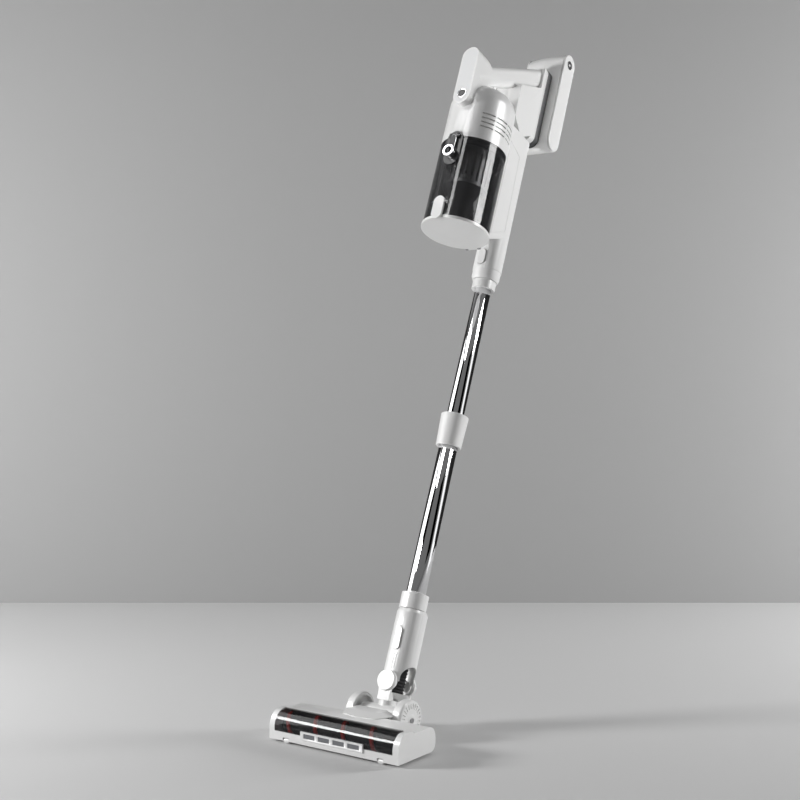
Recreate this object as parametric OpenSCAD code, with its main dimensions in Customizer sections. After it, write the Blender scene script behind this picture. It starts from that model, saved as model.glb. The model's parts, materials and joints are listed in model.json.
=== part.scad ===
// Cordless stick vacuum, in millimetres, +Z up.
// The floor head stands on the floor plane z = 0 with its front towards -Y, and the
// stick leans back towards +Y. The origin is on the floor, in the middle of the felt
// strip under the head. Everything above the neck is drawn in the stick's own frame:
// its z runs up the wand's axis and its y points back, square to the wand.

/* [Floor head] */
// Width of the floor head over both end caps
head_w = 240; // [200:1:280]
// Thickness of each end cap
cap_t = 10; // [8:0.5:14]
// Distance from the origin forward to the front lip
head_front = 50; // [48:0.5:56]
// Distance from the origin back to the rear wall
head_back = 43; // [38:1:60]
// Height of the head's flat rear top above the floor
head_top = 41; // [40:0.5:50]
// Gap between the sole and the floor
sole_gap = 4; // [3:0.5:5]
// Wall thickness of the head's shells
head_wall = 2.5; // [2:0.1:3]
// Height of the joint between the chassis and the cover
split_z = 20; // [19:0.5:21]

/* [Brush roller] */
// Height of the roller's axis above the floor
roller_z = 22; // [22:0.1:22.6]
// Radius over the bristles
bristle_r = 21.6; // [20:0.1:21.8]
// Radius of the roller's core
core_r = 17; // [12:0.5:18]
// Outer radius of the clear window
window_r = 24.5; // [24.2:0.1:25.5]
// Thickness of the clear window
window_t = 1.5; // [1.2:0.1:1.8]
// Lead of the bristle spiral, along the roller for one turn
bristle_lead = 52; // [40:1:80]
// Radius of the roller's steel shaft
roller_shaft_r = 2.94; // [2:0.02:3.5]
// Radius of the brush motor
brush_motor_r = 13; // [10:0.5:14]
// Length of the brush motor
brush_motor_len = 52; // [40:1:60]

/* [Wheels] */
// Radius of the rear wheels
wheel_r = 30; // [26:0.5:32]
// Width of each rear wheel
wheel_w = 17; // [14:1:20]
// Distance from the origin back to the wheels' axle
axle_y = 76; // [74:1:84]
// Radius of the wheels' axle
axle_r = 4; // [3:0.1:5]
// Radius of the small front wheels
front_wheel_r = 4; // [3.5:0.1:4]
// Distance of each front wheel's middle from the end of the head
front_wheel_in = 32; // [25:1:50]
// Radius of the front wheels' pins
front_pin_r = 1.5; // [1:0.1:1.8]
// Running clearance of pins and axles, in radius
run_gap = 0.06; // [0.03:0.01:0.09]
// Clearance between parts that move past each other
move_gap = 0.4; // [0.3:0.05:0.6]

/* [Neck] */
// Lean of the stick from upright, in degrees
lean = 22; // [5:0.5:35]
// Distance of the wand's axis behind the pitch axle
axle_back = 16; // [12:0.5:20]
// Radius of the neck's cross barrel
barrel_r = 16; // [15:0.5:17]
// Height of the swivel pins above the pitch axle, along the wand
swivel_z = 52; // [50:0.5:56]
// Distance of the swivel housing's axis behind the wand's axis
housing_back = 3; // [0:0.5:5]
// Outer radius of the swivel housing
housing_r = 25; // [24:0.5:27]
// Height of the swivel housing's top
housing_top = 168; // [160:1:180]
// Radius of the swivel pins
swivel_pin_r = 4; // [3:0.1:5]
// Radius of the flexible hose, over its ribs
hose_r = 13; // [10:0.5:13.5]

/* [Wand] */
// Outer radius of the lower, wider tube
lower_tube_r = 15.7; // [15.6:0.1:16.4]
// Outer radius of the upper, thinner tube
upper_tube_r = 14.3; // [13:0.1:14.3]
// Wall thickness of both tubes
tube_wall = 1; // [0.8:0.1:1]
// Height of the bottom of the telescope collar
collar_z = 441; // [400:1:470]
// Length of the telescope collar
collar_len = 55; // [50:1:65]
// Radius of the collar at its top
collar_r = 23.3; // [22.5:0.1:25]
// Height of the lower end of the hand unit's inlet
inlet_z = 740; // [720:1:780]
// Radius of the plastic sleeve on top of the upper tube
sleeve_r = 20; // [19:0.1:21]
// Radius of both wand spigots
spigot_r = 17; // [16.6:0.1:18]

/* [Hand unit] */
// Radius of the column behind the dust cup
column_r = 25; // [24:0.5:28]
// Height of the top of the column
column_top = 1012; // [1006:1:1018]
// Distance of the dust cup's axis in front of the wand's axis
cup_front = 114; // [112:0.5:120]
// Radius of the dust cup
cup_r = 56; // [52:0.5:58]
// Height of the top face of the cup's bottom lid
cup_bottom = 780; // [770:1:790]
// Height of the joint between the dust cup and the motor cover
cup_top = 925; // [915:1:930]
// Wall thickness of the dust cup
cup_wall = 2.2; // [1.8:0.1:3]
// Height of the crown of the motor cover
dome_top = 1043; // [1036:1:1044]
// Height at which the motor cover starts to curve in
dome_shoulder = 1000; // [990:1:1002]
// Wall thickness of the hand unit's shells
shell_wall = 2.5; // [2:0.1:3]

/* [Handle] */
// Width of the front post and the grip
grip_w = 32; // [28:1:36]
// Height of the grip's section
grip_h = 34; // [30:1:38]
// Corner radius of the grip's section
grip_corner = 10; // [6:0.5:13]
// Distance of the front post's face in front of the wand's axis
post_front = 183; // [180:0.5:188]
// Height of the front post's lower end
post_bottom = 981; // [976:1:990]
// Height of the front post's upper end
post_top = 1088; // [1080:1:1100]
// Depth of the front post, front to back
post_depth = 34; // [30:1:40]
// Width of the rear block under the grip
block_w = 50; // [44:1:54]
// Travel of the push buttons
button_travel = 2; // [1:0.5:2.5]

/* [Battery pack] */
// Width of the battery pack over both side plates
battery_w = 80; // [76:1:96]
// Depth of the battery pack, front to back
battery_d = 39; // [34:1:44]
// Height of the battery pack's lower end
battery_bottom = 1025; // [1015:1:1040]
// Height of the battery pack's upper end
battery_top = 1222; // [1200:1:1235]
// Distance of the pack's front face behind the wand's axis
battery_front = 40; // [38:0.5:46]
// Number of cells in the pack
cell_count = 7; // [5:1:7]
// Radius of one cell
cell_r = 10.5; // [9:0.1:10.5]

/* [Hidden] */
$fn = 96;
eps = 0.01;

white = "#f2f2f0";
pale_grey = "#d5d6d8";
dark = "#2b2c2f";
mid_grey = "#8b8d91";
chrome_grey = "#c7cbd1";

// Floor head
body_x = head_w / 2 - cap_t;
roller_y = window_r - head_front;
cavity_r = window_r - window_t - 0.2;
lip_z = roller_z - 5;
rear_round = 16;
sole_round = 12;
led_half = 58;
led_low = 12;
led_high = 24;
led_y = head_front + 2;
motor_y = (head_back + roller_y + cavity_r + head_wall) / 2;
motor_z = (sole_gap + head_top) / 2 + 1;
pulley_x0 = body_x - 11;
pulley_x1 = body_x - 4;
bearing_r = 6;
bristle_half = 6;
bristle_turn = 97;
bearing_t = 5;
front_wheel_y = front_wheel_r + 0.6;
front_wheel_x = head_w / 2 - front_wheel_in;
wheel_slot = 5.4;

// Wheels and cradle
wheel_x = 37;
ear_t = 5;
ear_out = wheel_x - move_gap;
ear_in = ear_out - ear_t;
barrel_half = ear_in - move_gap;
axle_z = wheel_r;
axle_end = wheel_x + wheel_w + 2;

// Swivel joint
tongue_r = 13;
lug_in = housing_r - housing_back + move_gap;
lug_back = housing_r + housing_back + move_gap;
lug_t = 4.2;
lug_r = 16.5;
bowl_out = 28;
bowl_in = 25.4;
hose_bottom = swivel_z - 20.5;
hose_top = swivel_z + 38;
head_spigot_bottom = housing_top - 48;
housing_bore = spigot_r + move_gap / 2;

// Wand
head_button_z = 119;
button_w = 12;
button_gap = 0.9;
button_floor = spigot_r + 2.4;
lower_sleeve_top = housing_top + 26;
tube_in = lower_tube_r - tube_wall;
upper_in = upper_tube_r - tube_wall;
lower_tube_bottom = housing_top - 38;
lower_tube_top = collar_z + collar_len - 20;
upper_tube_bottom = collar_z - 14;
sleeve_low = inlet_z - 16;
spigot_top = inlet_z + 50;
bush_low = lower_tube_top - 18;
collar_low_r = collar_r - 2.2;
collar_travel = 6;

// Hand unit
inlet_bore = spigot_r + move_gap / 2;
wand_button_z = inlet_z + 37;
duct_r = 15;
slab_front = cup_front - cup_r - 1.2;
slab_low = 792;
slab_rise = 30;
cup_axis = -cup_front;
lid_t = 5;
outlet_z = cup_top - 45;
outlet_r = 12;
lid_r = cup_r + 1.5;
dome_low = cup_top + move_gap;
shroud_low = dome_low + 9;
motor_r = 40;
fan_shaft_r = 2.5;
fan_room_top = shroud_low + 29;
screen_r = 38;
screen_drop = 0.5 * (cup_top - cup_bottom);
lever_z = cup_top - 1;
ring_z = cup_top - 33;
recess_w = 30;
recess_low = cup_top - 53;
recess_high = cup_top + 9;

// Handle, in the side plane: y back, z up the wand
grip_front = [-post_front + post_depth / 2, 1042];
grip_rear = [21, 1153.8];
grip_angle = atan2(grip_rear[1] - grip_front[1], grip_rear[0] - grip_front[0]);
grip_len = norm(grip_rear - grip_front);
block_front = -55;
block_back = 15;
block_low = battery_bottom - 19;
block_rise = 26;
block_high = grip_rear[1] - 25.8;
block_high_front = grip_front[1] + 50;
seat_half = 20;
seat_low = battery_bottom - 2;
seat_high = battery_top - 44;
seat_front = block_back - 2;
seat_corner = 14;
contact_half = 12;
contact_low = battery_bottom + 51;
contact_high = battery_bottom + 99;
gasket_t = 3;
seat_back = battery_front - gasket_t - move_gap;
button_z = post_bottom + grip_w / 2 + 3;
trigger_half = 5;
trigger_pin_y = -144;
trigger_pin_z = grip_front[1] + 6.5;

// Battery
battery_mid = battery_front + battery_d / 2;
plate_t = 3;
case_wall = 2.2;

// ------------------------------------------------------------------ helpers

// A side outline (y, z) run along x from x0 to x1
module along_x(x0, x1) {
    translate([x0, 0, 0]) rotate([90, 0, 90]) linear_extrude(x1 - x0) children();
}

// A front outline (x, z) run along y from y0 to y1
module along_y(y0, y1) {
    translate([0, y1, 0]) rotate([90, 0, 0]) linear_extrude(y1 - y0) children();
}

// A plan outline (x, y) run up z from z0 to z1
module along_z(z0, z1) {
    translate([0, 0, z0]) linear_extrude(z1 - z0) children();
}

module rod_x(x0, x1, y, z, r) {
    along_x(x0, x1) translate([y, z]) circle(r);
}

module rod_y(y0, y1, x, z, r) {
    along_y(y0, y1) translate([x, z]) circle(r);
}

module tube_z(z0, z1, r_out, r_in) {
    translate([0, 0, z0]) difference() {
        cylinder(h = z1 - z0, r = r_out);
        translate([0, 0, -1]) cylinder(h = z1 - z0 + 2, r = r_in);
    }
}

// Upright slot outline between two round ends, w wide, from low to high
module slot(w, low, high) {
    translate([0, low + w / 2]) circle(w / 2);
    translate([0, high - w / 2]) circle(w / 2);
    translate([-w / 2, low + w / 2]) square([w, high - low - w]);
}

// Rectangle from a to b with corner radius r
module soft_rect(a, b, r) {
    translate([a[0] + r, a[1]]) square([b[0] - a[0] - 2 * r, b[1] - a[1]]);
    translate([a[0], a[1] + r]) square([b[0] - a[0], b[1] - a[1] - 2 * r]);
    for (x = [a[0] + r, b[0] - r], y = [a[1] + r, b[1] - r]) {
        translate([x, y]) circle(r);
    }
}

// The stick's own frame, set on the pitch axle
module stick() {
    translate([0, axle_y, axle_z]) rotate([-lean, 0, 0]) translate([0, axle_back, 0]) children();
}

module mirror_x() {
    children();
    mirror([1, 0, 0]) children();
}

// --------------------------------------------------------------- floor head

// What is taken off the head's two rear corners, with the walls inset
module rear_corners(inset) {
    difference() {
        translate([head_back - rear_round, head_top - rear_round]) square(rear_round + 1);
        translate([head_back - rear_round, head_top - rear_round]) circle(rear_round - inset);
    }
    difference() {
        translate([head_back - sole_round, sole_gap - 1]) square(sole_round + 1);
        translate([head_back - sole_round, sole_gap + sole_round]) circle(sole_round - inset);
    }
}

// Side outline of the whole head
module head_outline() {
    intersection() {
        translate([roller_y, roller_z]) circle(window_r);
        translate([-head_front, sole_gap]) square([2 * head_front, head_top]);
    }
    translate([-head_front, sole_gap]) square([head_front + roller_y, roller_z - sole_gap]);
    difference() {
        translate([roller_y, sole_gap]) square([head_back - roller_y, head_top - sole_gap]);
        rear_corners(0);
        translate([roller_y - 1, sole_gap + 10]) square([9, head_top]);
    }
}

module roller_cavity(r) {
    rod_x(-body_x - 1, body_x + 1, roller_y, roller_z, r);
}

module led_pocket() {
    translate([-led_half, -led_y, led_low]) cube([2 * led_half, 3.2, led_high - led_low]);
}

module belt_slot() {
    translate([-pulley_x1 - 1.5, roller_y, sole_gap + 3]) {
        cube([pulley_x1 - pulley_x0 + 3, 40, head_top - sole_gap - 6]);
    }
}

// Hollow behind the roller for the brush motor, belt and air path
module rear_hollow() {
    y0 = roller_y + cavity_r + head_wall;
    along_x(-body_x + head_wall, body_x - head_wall) difference() {
        translate([y0, sole_gap + head_wall]) {
            square([head_back - head_wall - y0, head_top - sole_gap - 2 * head_wall]);
        }
        rear_corners(head_wall);
    }
}

// Air way from the roller's cavity, through the rear hollow, out at the back
module head_air_way() {
    translate([-18, roller_y + 10, 14]) cube([36, head_back - roller_y, 22]);
}

module sole_chassis() {
    color(white) difference() {
        along_x(-body_x, body_x) intersection() {
            head_outline();
            translate([-head_front - 1, 0]) square([head_front + head_back + 2, split_z]);
        }
        rod_x(-body_x + 1.5, body_x - 1.5, roller_y, roller_z, cavity_r);
        rod_x(-body_x - 1, body_x + 1, roller_y, roller_z, roller_shaft_r + move_gap);
        rear_hollow();
        belt_slot();
        head_air_way();
        led_pocket();
        translate([-body_x - 1, -head_front - 1, lip_z]) cube([2 * body_x + 2, 26, split_z]);
        translate([-95, -4, 0]) cube([190, 8, sole_gap + 1.5]);
        mirror_x() translate([front_wheel_x - wheel_slot, -head_front - 1, 0]) {
            cube([2 * wheel_slot, 1 + front_wheel_y + front_wheel_r + 1, 2 * front_wheel_r + 1]);
        }
    }
    color(white) mirror_x() {
        rod_x(front_wheel_x - wheel_slot, front_wheel_x + wheel_slot,
            front_wheel_y - head_front, front_wheel_r, front_pin_r);
    }
    motor_saddles();
}

// Two saddles that the brush motor lies in
module motor_saddles() {
    color(white) difference() {
        for (x = [-pulley_x0 + 8, -pulley_x0 + brush_motor_len - 6]) {
            translate([x, motor_y - 10, sole_gap + head_wall]) {
                cube([3, 20, motor_z - sole_gap - head_wall - 6]);
            }
        }
        rod_x(-body_x, body_x, motor_y, motor_z, brush_motor_r);
    }
}

module head_cover() {
    color(white) difference() {
        along_x(-body_x, body_x) intersection() {
            head_outline();
            translate([roller_y + 2, split_z]) square([head_back - roller_y + 2, head_top]);
        }
        roller_cavity(cavity_r);
        rear_hollow();
        belt_slot();
        head_air_way();
    }
}

module roller_window() {
    color("#3a3a3e", 0.6) difference() {
        along_x(-body_x, body_x) difference() {
            intersection() {
                translate([roller_y, roller_z]) circle(window_r);
                translate([-head_front - 5, lip_z]) square([head_front + 5 + roller_y + 2, 60]);
            }
            translate([roller_y, roller_z]) circle(cavity_r);
        }
        led_pocket();
    }
}

module end_cap(side) {
    color(white) difference() {
        along_x(side > 0 ? body_x : -body_x - cap_t, side > 0 ? body_x + cap_t : -body_x) head_outline();
        rod_x(side > 0 ? body_x - 1 : -body_x - bearing_t, side > 0 ? body_x + bearing_t : -body_x + 1,
            roller_y, roller_z, bearing_r);
    }
}

module end_cap_right() { end_cap(1); }

module end_cap_left() { end_cap(-1); }

module sole_felt_strip() {
    color(dark) translate([-95, -4, 0]) cube([190, 8, sole_gap + 1.5]);
}

// Chrome frame with four windows between five posts
module led_bar_frame() {
    cell = (2 * led_half - 5 * 6) / 4;
    color(chrome_grey) difference() {
        led_pocket();
        for (i = [0:3]) {
            translate([-led_half + 6 + i * (cell + 6), -led_y - 1, led_low + 2.5]) {
                cube([cell, 3, led_high - led_low - 5]);
            }
        }
    }
}

module led_lenses() {
    cell = (2 * led_half - 5 * 6) / 4;
    color(mid_grey) for (i = [0:3]) {
        translate([-led_half + 6 + i * (cell + 6), -led_y + 0.4, led_low + 2.5]) {
            cube([cell, 1.6, led_high - led_low - 5]);
        }
    }
}

module brush_roller() {
    color(dark) {
        rod_x(-pulley_x0 + 1, body_x - 2, roller_y, roller_z, core_r);
        rod_x(-body_x - bearing_t + 0.3, body_x + bearing_t - 0.3, roller_y, roller_z, roller_shaft_r);
    }
}

// One bristle ribbon wound round the core
module bristle_spiral() {
    len = pulley_x0 + body_x - 5;
    color("#c8302c") translate([-pulley_x0 + 2, roller_y, roller_z]) rotate([90, 0, 90]) {
        linear_extrude(len, twist = -360 * len / bristle_lead, slices = 96, $fn = 4) {
            rotate(bristle_turn) translate([core_r + 0.2, -bristle_half]) {
                square([sqrt(bristle_r * bristle_r - bristle_half * bristle_half) - core_r - 0.2, 2 * bristle_half]);
            }
        }
    }
}

module roller_bearings() {
    color(mid_grey) mirror_x() difference() {
        rod_x(body_x + 0.3, body_x + bearing_t, roller_y, roller_z, bearing_r);
        rod_x(body_x, body_x + bearing_t + 1, roller_y, roller_z, roller_shaft_r + run_gap);
    }
}

module roller_pulley() {
    color(mid_grey) difference() {
        rod_x(-pulley_x1, -pulley_x0, roller_y, roller_z, 11);
        rod_x(-pulley_x1 - 1, -pulley_x0 + 1, roller_y, roller_z, roller_shaft_r);
    }
}

module brush_motor() {
    color(mid_grey) {
        rod_x(-pulley_x0 + 4, -pulley_x0 + 4 + brush_motor_len, motor_y, motor_z, brush_motor_r);
        rod_x(-pulley_x0 + 1.5, -pulley_x0 + 4, motor_y, motor_z, 6);
    }
}

module motor_pulley() {
    color(dark) rod_x(-pulley_x1, -pulley_x0 + 1.2, motor_y, motor_z, 5);
}

// Flat belt round both pulleys
module drive_belt() {
    color("#1c1c1c") along_x(-pulley_x1 + 0.6, -pulley_x0 - 0.6) difference() {
        hull() {
            translate([roller_y, roller_z]) circle(12.6, $fn = 48);
            translate([motor_y, motor_z]) circle(6.6, $fn = 32);
        }
        hull() {
            translate([roller_y, roller_z]) circle(11.3, $fn = 48);
            translate([motor_y, motor_z]) circle(5.3, $fn = 32);
        }
    }
}

module front_wheel() {
    color(white) difference() {
        rod_x(front_wheel_x - 5, front_wheel_x + 5, front_wheel_y - head_front, front_wheel_r, front_wheel_r);
        rod_x(front_wheel_x - 6, front_wheel_x + 6, front_wheel_y - head_front, front_wheel_r,
            front_pin_r + run_gap);
    }
}

module front_wheel_right() { front_wheel(); }

module front_wheel_left() { mirror([1, 0, 0]) front_wheel(); }

// Rear wheel with a ring of radial slots outside and a hollow rim inside
module rear_wheel() {
    color(white) difference() {
        rod_x(wheel_x, wheel_x + wheel_w, axle_y, axle_z, wheel_r);
        rod_x(wheel_x - 1, wheel_x + wheel_w + 1, axle_y, axle_z, axle_r + run_gap);
        difference() {
            rod_x(wheel_x - 1, wheel_x + 12, axle_y, axle_z, wheel_r - 5);
            rod_x(wheel_x - 2, wheel_x + 13, axle_y, axle_z, 9);
        }
        for (i = [0:23]) {
            translate([wheel_x + wheel_w - 2, axle_y, axle_z]) rotate([i * 15, 0, 0]) {
                translate([0, -0.9, 17]) cube([3, 1.8, 8]);
            }
        }
    }
}

module rear_wheel_right() { rear_wheel(); }

module rear_wheel_left() { mirror([1, 0, 0]) rear_wheel(); }

module wheel_axle() {
    color(chrome_grey) rod_x(-axle_end, axle_end, axle_y, axle_z, axle_r);
}

// Cradle behind the head: two ears for the axle and a seat for the neck's barrel
module neck_cradle() {
    color(white) difference() {
        union() {
            translate([-ear_out, head_back, 7]) cube([2 * ear_out, axle_y - head_back, 34]);
            mirror_x() rod_x(ear_in, ear_out, axle_y, axle_z, 16);
            translate([-ear_out, axle_y - 8, 5]) cube([2 * ear_out, 26, 5]);
            mirror_x() translate([ear_in, axle_y, 5]) cube([ear_t, 16, 25]);
        }
        rod_x(-ear_in, ear_in, axle_y, axle_z, barrel_r + move_gap);
        translate([-ear_in, axle_y - 15, axle_z]) cube([2 * ear_in, 40, 40]);
        rod_x(-axle_end, axle_end, axle_y, axle_z, axle_r);
        translate([-18, head_back - 1, 14]) cube([36, 30, 22]);
    }
}

// Prow-shaped cowl over the cradle's front
module cradle_cowl() {
    color(white) difference() {
        hull() {
            along_z(head_top, head_top + 1) polygon([[-44, 40], [-30, 14], [0, 8], [30, 14], [44, 40],
                [ear_out, 58], [-ear_out, 58]]);
            along_z(head_top + 5, head_top + 6) polygon([[-26, 52], [-22, 30], [0, 26], [22, 30],
                [26, 52]]);
        }
        rod_x(-60, 60, axle_y, axle_z, wheel_r + 1);
    }
}

// --------------------------------------------------------------------- neck

module lower_neck() {
    color(white) stick() difference() {
        union() {
            rod_x(-barrel_half, barrel_half, -axle_back, 0, barrel_r);
            translate([0, -12, -2]) cylinder(h = 26, r = 13.5);
            translate([0, housing_back, swivel_z]) sphere(bowl_out);
            along_y(-lug_in - lug_t, -lug_in) {
                translate([0, swivel_z]) circle(lug_r);
                translate([-11, 22]) square([22, swivel_z - 22]);
            }
            along_y(lug_back, lug_back + lug_t) {
                translate([0, swivel_z]) circle(lug_r);
                translate([-11, 30]) square([22, swivel_z - 30]);
            }
            translate([-11, -lug_in - lug_t, 22]) cube([22, 12, 13]);
            translate([-11, lug_back + lug_t - 14, 30]) cube([22, 14, 5]);
        }
        difference() {
            translate([0, housing_back, swivel_z]) sphere(bowl_in);
            translate([-40, -60, 0]) cube([80, 120, swivel_z - 25]);
        }
        translate([-60, -lug_in, swivel_z - 16]) cube([120, lug_in + lug_back, 60]);
        translate([-60, -lug_in - lug_t - 1, swivel_z + lug_r]) cube([120, 80, 40]);
        mirror_x() translate([lug_r, -60, swivel_z - 16]) cube([40, 120, 60]);
        translate([0, 0, swivel_z - 32]) cylinder(h = 20, r = 11);
        translate([0, -10, 0]) cylinder(h = 24, r = 10.5);
        rod_x(-barrel_half + 2.5, barrel_half - 2.5, -axle_back, 0, barrel_r - 2.5);
        rod_x(-barrel_half - 1, barrel_half + 1, -axle_back, 0, axle_r + run_gap);
        translate([-16, -axle_back - 24, -7]) cube([32, 14, 14]);
        rod_y(-60, 60, 0, swivel_z, swivel_pin_r);
    }
}

// Two pins with broad cap heads that the housing swivels on
module swivel_pins() {
    color(white) stick() {
        rod_y(-lug_in - lug_t - 3, -lug_in - lug_t, 0, swivel_z, lug_r - 0.6);
        rod_y(-lug_in - lug_t, -housing_r + housing_back + 7.5, 0, swivel_z, swivel_pin_r);
        rod_y(lug_back + lug_t, lug_back + lug_t + 2.4, 0, swivel_z, lug_r - 0.6);
        rod_y(housing_r + housing_back - 7.5, lug_back + lug_t, 0, swivel_z, swivel_pin_r);
    }
}

// Round housing with two pierced tongues and an arch cut out of each side
module swivel_housing() {
    color(white) stick() difference() {
        translate([0, housing_back, 0]) difference() {
            union() {
                tube_z(swivel_z - tongue_r, housing_top - 6, housing_r, housing_r - 3);
                translate([0, 0, head_spigot_bottom - 4]) {
                    cylinder(h = housing_top - head_spigot_bottom - 2, r = housing_r);
                }
                translate([0, 0, housing_top - 6]) cylinder(h = 6, r1 = housing_r, r2 = 22.4);
                rod_y(-housing_r + 1.5, -housing_r + 8, 0, swivel_z, 8.5);
                rod_y(housing_r - 8, housing_r - 1.5, 0, swivel_z, 8.5);
                tube_z(swivel_z + 30, swivel_z + 36, housing_r - 2, hose_r);
            }
            along_x(-40, 40) {
                translate([0, swivel_z + 9]) circle(housing_r - 6);
                translate([-housing_r + 6, 0]) square([2 * housing_r - 12, swivel_z + 9]);
            }
            along_y(-60, 60) difference() {
                translate([-40, 0]) square([80, swivel_z]);
                translate([0, swivel_z]) circle(tongue_r);
                translate([-tongue_r, swivel_z]) square([2 * tongue_r, 20]);
            }
            along_y(-60, 60) mirror_x() translate([tongue_r, swivel_z - 20]) square([30, 22]);
            rod_y(-60, 60, 0, swivel_z, swivel_pin_r + run_gap);
        }
        translate([0, 0, head_spigot_bottom - 1]) cylinder(h = 60, r = housing_bore);
        translate([0, 0, swivel_z + 20]) cylinder(h = 100, r = 12);
        along_y(-housing_r + housing_back - 1, -button_floor) {
            slot(button_w + 2 * button_gap, head_button_z - 18 - button_gap, head_button_z + 18 + button_gap);
        }
        for (x = [-4.5, 0, 4.5]) {
            translate([x - 0.7, -housing_r + housing_back - 1, swivel_z + 20]) cube([1.4, 2, 24]);
        }
    }
}

// Ribbed hose between the housing and the neck
module flexible_hose() {
    pitch = 5;
    count = floor((hose_top - hose_bottom - 4) / pitch);
    color("#1d1d1f") stick() translate([0, housing_back, hose_bottom]) rotate_extrude() {
        difference() {
            square([hose_r - 1.6, hose_top - hose_bottom - 4]);
            translate([-1, -1]) square([hose_r - 3, hose_top - hose_bottom]);
        }
        for (i = [0:count - 1]) {
            translate([hose_r - 1.8, i * pitch + 0.6]) square([1.8, 2.6]);
        }
        translate([hose_r - 3, hose_top - hose_bottom - 8]) square([3, 4]);
    }
}

module head_release_button() {
    color(white) stick() along_y(-housing_r + housing_back - 1.5, -button_floor - button_travel - 0.3) {
        slot(button_w, head_button_z - 18, head_button_z + 18);
    }
}

// --------------------------------------------------------------------- wand

module lower_wand_sleeve() {
    color(white) stick() {
        tube_z(housing_top + 0.5, lower_sleeve_top, 22, lower_tube_r);
        tube_z(head_spigot_bottom, housing_top + 0.5, spigot_r, lower_tube_r);
    }
}

module lower_tube() {
    color(chrome_grey) stick() tube_z(lower_tube_bottom, lower_tube_top, lower_tube_r, tube_in);
}

// Bush on the lower tube's end that the upper tube runs in
module telescope_bush() {
    color(dark) stick() {
        tube_z(bush_low, lower_tube_top, 18.6, lower_tube_r);
        tube_z(lower_tube_top, lower_tube_top + 12, 18.6, upper_tube_r + run_gap);
    }
}

// Sliding collar that frees the telescope
module telescope_collar() {
    color(white) stick() difference() {
        translate([0, 0, collar_z]) cylinder(h = collar_len, r1 = collar_low_r, r2 = collar_r);
        translate([0, 0, collar_z - 1]) cylinder(h = collar_len + 2, r = lower_tube_r + move_gap);
        translate([0, 0, bush_low - collar_travel - 1]) {
            cylinder(h = lower_tube_top + 13 - bush_low + collar_travel + 1, r = 18.6 + move_gap);
        }
    }
}

module upper_tube() {
    color(chrome_grey) stick() tube_z(upper_tube_bottom, inlet_z - 4, upper_tube_r, upper_in);
}

module upper_wand_sleeve() {
    color(white) stick() {
        tube_z(sleeve_low, inlet_z - 0.5, sleeve_r, upper_tube_r);
        tube_z(inlet_z - 0.5, spigot_top, spigot_r, upper_in);
    }
}

// ---------------------------------------------------------------- hand unit

// Plan outline of the column: round behind, flat sides running to the cup
module column_plan(inset) {
    circle(column_r - inset);
    translate([-column_r + inset, -slab_front - 8]) square([2 * (column_r - inset), slab_front + 8]);
}

module cup_space(extra) {
    translate([0, cup_axis, 700]) cylinder(h = 420, r = cup_r + extra);
}

// Side outline kept of the slab in front of the inlet tube
module slab_side() {
    polygon([[-slab_front - 10, slab_low - 6], [0, slab_low + slab_rise], [0, column_top],
        [-slab_front - 10, column_top]]);
}

module column_shell() {
    color(white) stick() difference() {
        union() {
            difference() {
                along_z(slab_low - 10, column_top) column_plan(0);
                along_x(-60, 60) difference() {
                    translate([-100, 700]) square([100, 400]);
                    slab_side();
                }
            }
            translate([0, 0, inlet_z + 18]) cylinder(h = column_top - inlet_z - 18, r = column_r);
            translate([0, 0, inlet_z]) cylinder(h = 6, r1 = 21.5, r2 = 24);
            translate([0, 0, inlet_z + 6]) cylinder(h = 10, r = 24);
            translate([0, 0, inlet_z + 16]) cylinder(h = 4, r1 = 24, r2 = column_r);
        }
        cup_space(1);
        difference() {
            along_z(slab_low + slab_rise + 8, column_top - shell_wall) column_plan(shell_wall);
            cup_space(1 + shell_wall);
        }
        translate([0, 0, inlet_z - 1]) cylinder(h = spigot_top - inlet_z + 2, r = inlet_bore);
        translate([0, 0, inlet_z]) cylinder(h = 100, r = duct_r);
        along_y(-column_r - 1, -button_floor) {
            slot(button_w + 2 + 2 * button_gap,
                wand_button_z - 14 - button_gap, wand_button_z + 14 + button_gap);
        }
        mirror_x() side_panel_pocket();
        translate([0, cup_axis, outlet_z]) rod_y(40, 80, 0, 0, outlet_r + 1);
    }
}

// Shallow pocket in the column's flat side for the inset panel
module panel_outline(inset) {
    polygon([[-slab_front + 6 + inset, slab_low + 14 + inset], [-10 - inset, slab_low + 38 + inset],
        [-14 - inset, column_top - 40 - inset], [-slab_front + 8 + inset, column_top - 28 - inset]]);
}

module side_panel_pocket() {
    translate([column_r - 1.2, 0, 0]) along_x(0, 5) panel_outline(0);
}

module side_panels() {
    color(white) stick() mirror_x() translate([column_r - 1.2, 0, 0]) along_x(0, 1.4) panel_outline(0.6);
}

module wand_release_button() {
    color(white) stick() along_y(-column_r - 1.2, -button_floor - button_travel - 0.3) {
        slot(button_w + 2, wand_button_z - 14, wand_button_z + 14);
    }
}

// ------------------------------------------------------------------- handle

// The front post, the sloping grip and the rear block, grown or shrunk by inset
module grip_solid(inset) {
    translate([0, grip_front[0], grip_front[1]]) rotate([grip_angle - 90, 0, 0]) {
        translate([0, 0, inset]) linear_extrude(grip_len - 2 * inset) {
            soft_rect([-grip_w / 2 + inset, -grip_h / 2 + inset],
                [grip_w / 2 - inset, grip_h / 2 - inset], grip_corner - inset);
        }
    }
}

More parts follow.
